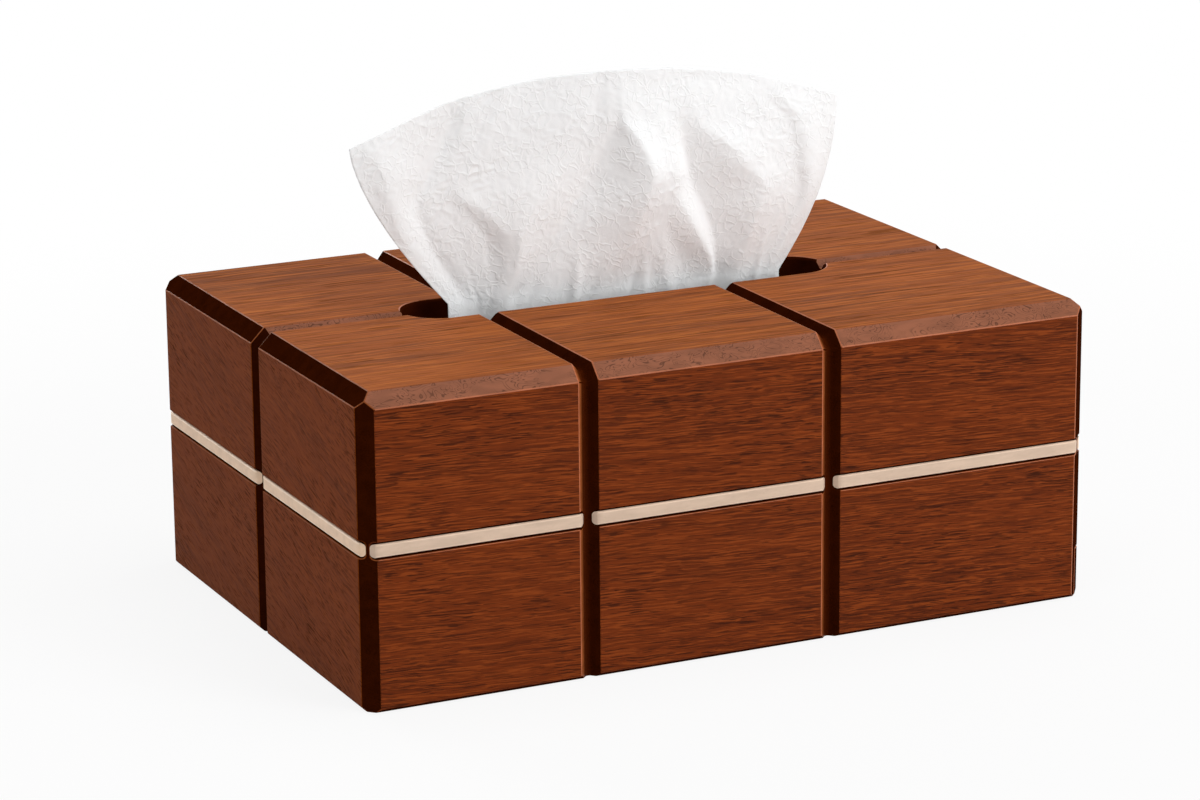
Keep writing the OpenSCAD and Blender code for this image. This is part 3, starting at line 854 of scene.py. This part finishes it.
class TISSUEBOX_OT_stack(Operator):
    """Makes the pile of folded tissues inside, one rounded fold above the other"""
    bl_idname = "tissuebox.stack"
    bl_label = "Folded tissues"

    def execute(self, context):
        tissue = context.scene.tissue_box_tissue
        noise.seed_set(NOISE_SEED)
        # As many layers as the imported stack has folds
        count = 23
        height = (STACK_HIGH.z - STACK_LOW.z) / count
        middle = (STACK_LOW + STACK_HIGH) / 2
        size = STACK_HIGH - STACK_LOW
        bpy.ops.object.select_all(action="DESELECT")
        bpy.ops.mesh.primitive_cube_add(size=1.0, location=(0, 0, 0))
        first = bpy.context.view_layer.objects.active
        first.scale = (size.x, size.y, height)
        bpy.ops.object.transform_apply(scale=True)
        bpy.ops.object.mode_set(mode="EDIT")
        bpy.ops.mesh.select_mode(type="EDGE")
        bpy.ops.mesh.select_all(action="DESELECT")
        mesh = bmesh.from_edit_mesh(first.data)
        for edge in mesh.edges:
            a, b = edge.verts
            edge.select = abs(a.co.x - b.co.x) > size.x / 2
        bmesh.update_edit_mesh(first.data)
        bpy.ops.mesh.bevel(offset=height * 0.48, segments=5, affect="EDGES")
        bpy.ops.object.mode_set(mode="OBJECT")
        layers = [first]
        for i in range(1, count):
            layer = first.copy()
            layer.data = first.data.copy()
            context.scene.collection.objects.link(layer)
            layers.append(layer)
        for i, layer in enumerate(layers):
            wander = noise.noise_vector(Vector((i * 0.9, 3.1, 7.7)))
            slack = Vector((wander.x * 0.8 * MM, wander.y * 0.5 * MM, 0))
            squeeze = 1 - 0.012 * abs(wander.z)
            lift = Vector((middle.x, middle.y, STACK_LOW.z + height * (i + 0.5)))
            layer.data.transform(Matrix.Diagonal((squeeze, squeeze, 1, 1)))
            layer.data.transform(Matrix.Translation(lift + slack * (1 if 0 < i < count - 1 else 0)))
        bpy.ops.object.select_all(action="DESELECT")
        for layer in layers:
            layer.select_set(True)
        context.view_layer.objects.active = first
        bpy.ops.object.join()
        first.name = "tissue_stack_folds"
        first.data.name = "tissue_stack_folds"
        flat = first.data.uv_layers.new(name="Flat")
        for loop, uv in zip(first.data.loops, flat.data):
            point = first.data.vertices[loop.vertex_index].co / MM
            uv.uv = (point.x + point.y * 0.3, point.z * 3 + point.y)
        first.data.materials.append(tissue_paper(tissue))
        smooth(first, 40)
        hand_over(first, "tissue_stack", "box")
        return {"FINISHED"}


class TISSUEBOX_OT_stage(Operator):
    """Lays the white floor and sets the lights, the surround and the camera"""
    bl_idname = "tissuebox.stage"
    bl_label = "Stage"

    def execute(self, context):
        stage = context.scene.tissue_box_stage
        lay_floor(stage)
        hang_light("overhead_light", (0.30, -0.10, 1.05), (0.0, 0.0, 0.03), (0.9, 0.7), stage.key_power)
        hang_light("right_light", (0.72, -1.00, 0.42), (0.0, 0.0, 0.05), (0.7, 0.7), stage.side_power)
        hang_light("left_fill", (-0.95, -0.45, 0.40), (0.0, 0.0, 0.04), (0.8, 0.6), stage.fill_power)
        hang_light("back_light", (-0.25, 1.15, 0.38), (0.0, 0.0, 0.05), (0.8, 0.6), stage.back_power)
        surround(context.scene, stage)
        stand_camera(context.scene, stage)
        context.scene.view_settings.view_transform = "Standard"
        return {"FINISHED"}


def background_rays(tree):
    """1 for rays that show the background: straight from the camera, mirrored or bent."""
    ray = put(tree, "ShaderNodeLightPath").outputs
    mirrored = calc(tree, "MAXIMUM", ray["Is Glossy Ray"], ray["Is Transmission Ray"])
    return calc(tree, "MAXIMUM", ray["Is Camera Ray"], mirrored)


def lay_floor(stage):
    """A round white floor under the box."""
    bpy.ops.object.select_all(action="DESELECT")
    bpy.ops.mesh.primitive_circle_add(
        vertices=96, radius=stage.floor_radius, fill_type="NGON", location=(0, 0, 0))
    floor = bpy.context.view_layer.objects.active
    floor.name = "white_floor"
    material, tree, shader, place = start_material("white_floor", 0.9, 0.0)
    shader.inputs["Base Color"].default_value = (0.80, 0.80, 0.80, 1.0)
    white = put(tree, "ShaderNodeEmission", {"Color": (1.0, 1.0, 1.0, 1.0), "Strength": 1.0})
    far = put(tree, "ShaderNodeVectorMath", {0: place}, operation="LENGTH").outputs["Value"]
    share = put(tree, "ShaderNodeMapRange", {
        "Value": far, "From Min": 0.18, "From Max": 0.45, "To Min": stage.floor_white, "To Max": 1.0},
        interpolation_type="SMOOTHSTEP").outputs[0]
    shown = calc(tree, "MULTIPLY", background_rays(tree), share)
    mixed = put(tree, "ShaderNodeMixShader", {0: shown, 1: shader.outputs[0], 2: white.outputs[0]})
    tree.links.new(mixed.outputs[0], tree.nodes["Material Output"].inputs["Surface"])
    floor.data.materials.append(material)


def hang_light(name, place, target, size, power):
    """A rectangular area light that faces a point."""
    bpy.ops.object.select_all(action="DESELECT")
    bpy.ops.object.light_add(type="AREA", location=place)
    lamp = bpy.context.view_layer.objects.active
    lamp.name = name
    lamp.data.shape = "RECTANGLE"
    lamp.data.size, lamp.data.size_y = size
    lamp.data.energy = power
    aim = Vector(target) - Vector(place)
    lamp.rotation_euler = aim.to_track_quat("-Z", "Y").to_euler()


def surround(scene, stage):
    """Light that fades from overhead to the horizon, while the background is seen as plain white."""
    world = bpy.data.worlds.new("studio")
    scene.world = world
    world.use_nodes = True
    tree = world.node_tree
    output = tree.nodes["World Output"]
    even = tree.nodes["Background"]
    even.inputs["Color"].default_value = (1.0, 1.0, 1.0, 1.0)
    white = put(tree, "ShaderNodeBackground", {"Color": (1.0, 1.0, 1.0, 1.0), "Strength": 1.0})
    direction = put(tree, "ShaderNodeTexCoord").outputs["Generated"]
    height = put(tree, "ShaderNodeSeparateXYZ", {0: direction}).outputs["Z"]
    rise = calc(tree, "MULTIPLY", height, height)
    fade = put(tree, "ShaderNodeMapRange", {
        "Value": rise, "From Min": 0.0, "From Max": 1.0, "To Min": 0.15 * stage.surround,
        "To Max": stage.surround})
    tree.links.new(fade.outputs[0], even.inputs["Strength"])
    mixed = put(tree, "ShaderNodeMixShader", {
        0: background_rays(tree), 1: even.outputs[0], 2: white.outputs[0]})
    tree.links.new(mixed.outputs[0], output.inputs["Surface"])


def stand_camera(scene, stage):
    """The camera at the photograph's viewing angle."""
    tilt, roll, turn = stage.camera_turn
    bpy.ops.object.camera_add()
    camera = bpy.context.view_layer.objects.active
    camera.name = "front_left_camera"
    camera.data.lens = stage.lens
    camera.data.sensor_width = 36.0
    aim = (Matrix.Rotation(-turn, 4, "Z") @ Matrix.Rotation(math.radians(90) - tilt, 4, "X")
           @ Matrix.Rotation(roll, 4, "Z"))
    camera.matrix_world = Matrix.Translation(stage.camera_place) @ aim
    scene.camera = camera


class TISSUEBOX_PT_sidebar(Panel):
    """Lists the box's pieces and settings"""
    bl_idname = "TISSUEBOX_PT_sidebar"
    bl_label = "Tissue box"
    bl_space_type = "VIEW_3D"
    bl_region_type = "UI"
    bl_category = "Tissue box"

    def draw(self, context):
        scene = context.scene
        groups = (
            (scene.tissue_box_wood, (TISSUEBOX_OT_boards, TISSUEBOX_OT_bottom)),
            (scene.tissue_box_inlay, (TISSUEBOX_OT_strips,)),
            (scene.tissue_box_tissue, (TISSUEBOX_OT_stack, TISSUEBOX_OT_sheet)),
            (scene.tissue_box_stage, (TISSUEBOX_OT_stage,)),
        )
        for settings, operators in groups:
            box = self.layout.box()
            for name in settings.__annotations__:
                box.prop(settings, name)
            for operator in operators:
                box.operator(operator.bl_idname)


SETTINGS = {
    "tissue_box_wood": WoodSettings,
    "tissue_box_inlay": InlaySettings,
    "tissue_box_tissue": TissueSettings,
    "tissue_box_stage": StageSettings,
}
CLASSES = (
    *SETTINGS.values(),
    TISSUEBOX_OT_boards,
    TISSUEBOX_OT_bottom,
    TISSUEBOX_OT_strips,
    TISSUEBOX_OT_stack,
    TISSUEBOX_OT_sheet,
    TISSUEBOX_OT_stage,
    TISSUEBOX_PT_sidebar,
)


def register():
    for item in CLASSES:
        bpy.utils.register_class(item)
    for name, group in SETTINGS.items():
        setattr(bpy.types.Scene, name, PointerProperty(type=group))


def unregister():
    for name in SETTINGS:
        delattr(bpy.types.Scene, name)
    for item in reversed(CLASSES):
        bpy.utils.unregister_class(item)


def main():
    """Dresses the whole box."""
    register()
    bpy.ops.tissuebox.boards()
    bpy.ops.tissuebox.bottom()
    bpy.ops.tissuebox.strips()
    bpy.ops.tissuebox.stack()
    bpy.ops.tissuebox.sheet()
    bpy.ops.tissuebox.stage()


if __name__ == "__main__":
    main()
